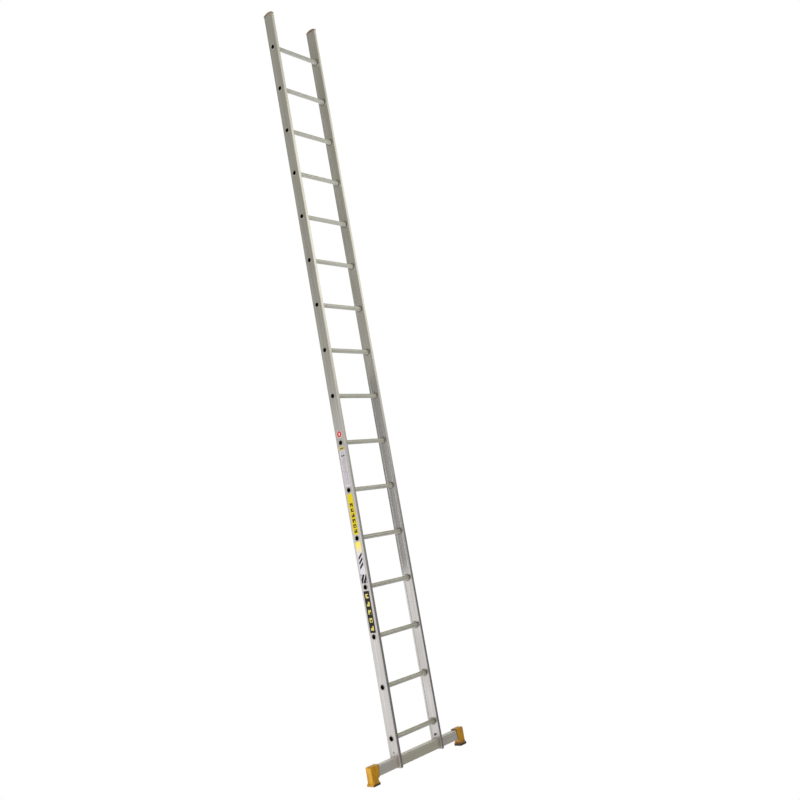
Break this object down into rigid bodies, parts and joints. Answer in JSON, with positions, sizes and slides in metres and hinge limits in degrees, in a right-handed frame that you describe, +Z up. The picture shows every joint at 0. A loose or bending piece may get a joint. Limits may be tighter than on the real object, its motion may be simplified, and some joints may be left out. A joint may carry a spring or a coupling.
{
  "type": "single-section ladder",
  "caption": "Aluminium leaning ladder in one section: grooved round rungs swaged into box stiles, a wide stabiliser bar across the foot and moulded feet with rubber soles.",
  "frame": {"origin": "on the plane of the soles, midway between the stiles and midway through their depth", "axes": "+Z up along the stiles, X along the rungs, -Y towards the climber"},
  "size_m": [0.733, 0.0668, 4.13],
  "materials": {
    "stile_aluminium": "mill-finish extrusion with fine lengthwise die lines",
    "rung_aluminium": "mill finish with anti-slip grooves along the tube",
    "bar_aluminium": "dull mill finish",
    "foot_plastic": "moulded golden-orange plastic with a fine grain",
    "cap_plastic": "moulded golden-orange plastic with a fine grain",
    "saddle_plastic": "moulded brown plastic",
    "sole_rubber": "dark moulded rubber with a tread",
    "bolt_steel": "zinc-plated",
    "dark_steel": "blackened",
    "label_white": "printed film",
    "label_yellow": "printed film",
    "label_black": "printed film",
    "label_red": "printed film"
  },
  "bodies": {
    "root": {"black_label": "label_black", "data_label": "label_white", "left_bar_lock_screw": "dark_steel", "left_bar_saddle": "saddle_plastic", "left_foot_cap": "foot_plastic", "left_foot_sole": "sole_rubber", "left_saddle_bolt": "bolt_steel", "left_saddle_nut": "dark_steel", "left_saddle_washer": "dark_steel", "left_stile": "stile_aluminium", "left_top_cap": "cap_plastic", "patch_label": "label_yellow", "right_bar_lock_screw": "dark_steel", "right_bar_saddle": "saddle_plastic", "right_foot_cap": "foot_plastic", "right_foot_sole": "sole_rubber", "right_saddle_bolt": "bolt_steel", "right_saddle_nut": "dark_steel", "right_saddle_washer": "dark_steel", "right_stile": "stile_aluminium", "right_top_cap": "cap_plastic", "round_label": "label_red", "rung_01": "rung_aluminium", "rung_02": "rung_aluminium", "rung_03": "rung_aluminium", "rung_04": "rung_aluminium", "rung_05": "rung_aluminium", "rung_06": "rung_aluminium", "rung_07": "rung_aluminium", "rung_08": "rung_aluminium", "rung_09": "rung_aluminium", "rung_10": "rung_aluminium", "rung_11": "rung_aluminium", "rung_12": "rung_aluminium", "rung_13": "rung_aluminium", "rung_14": "rung_aluminium", "rung_15": "rung_aluminium", "rung_16": "rung_aluminium", "stabiliser_bar": "bar_aluminium", "striped_label": "label_white", "white_label": "label_white", "yellow_label": "label_yellow"}
  },
  "joints": []
}
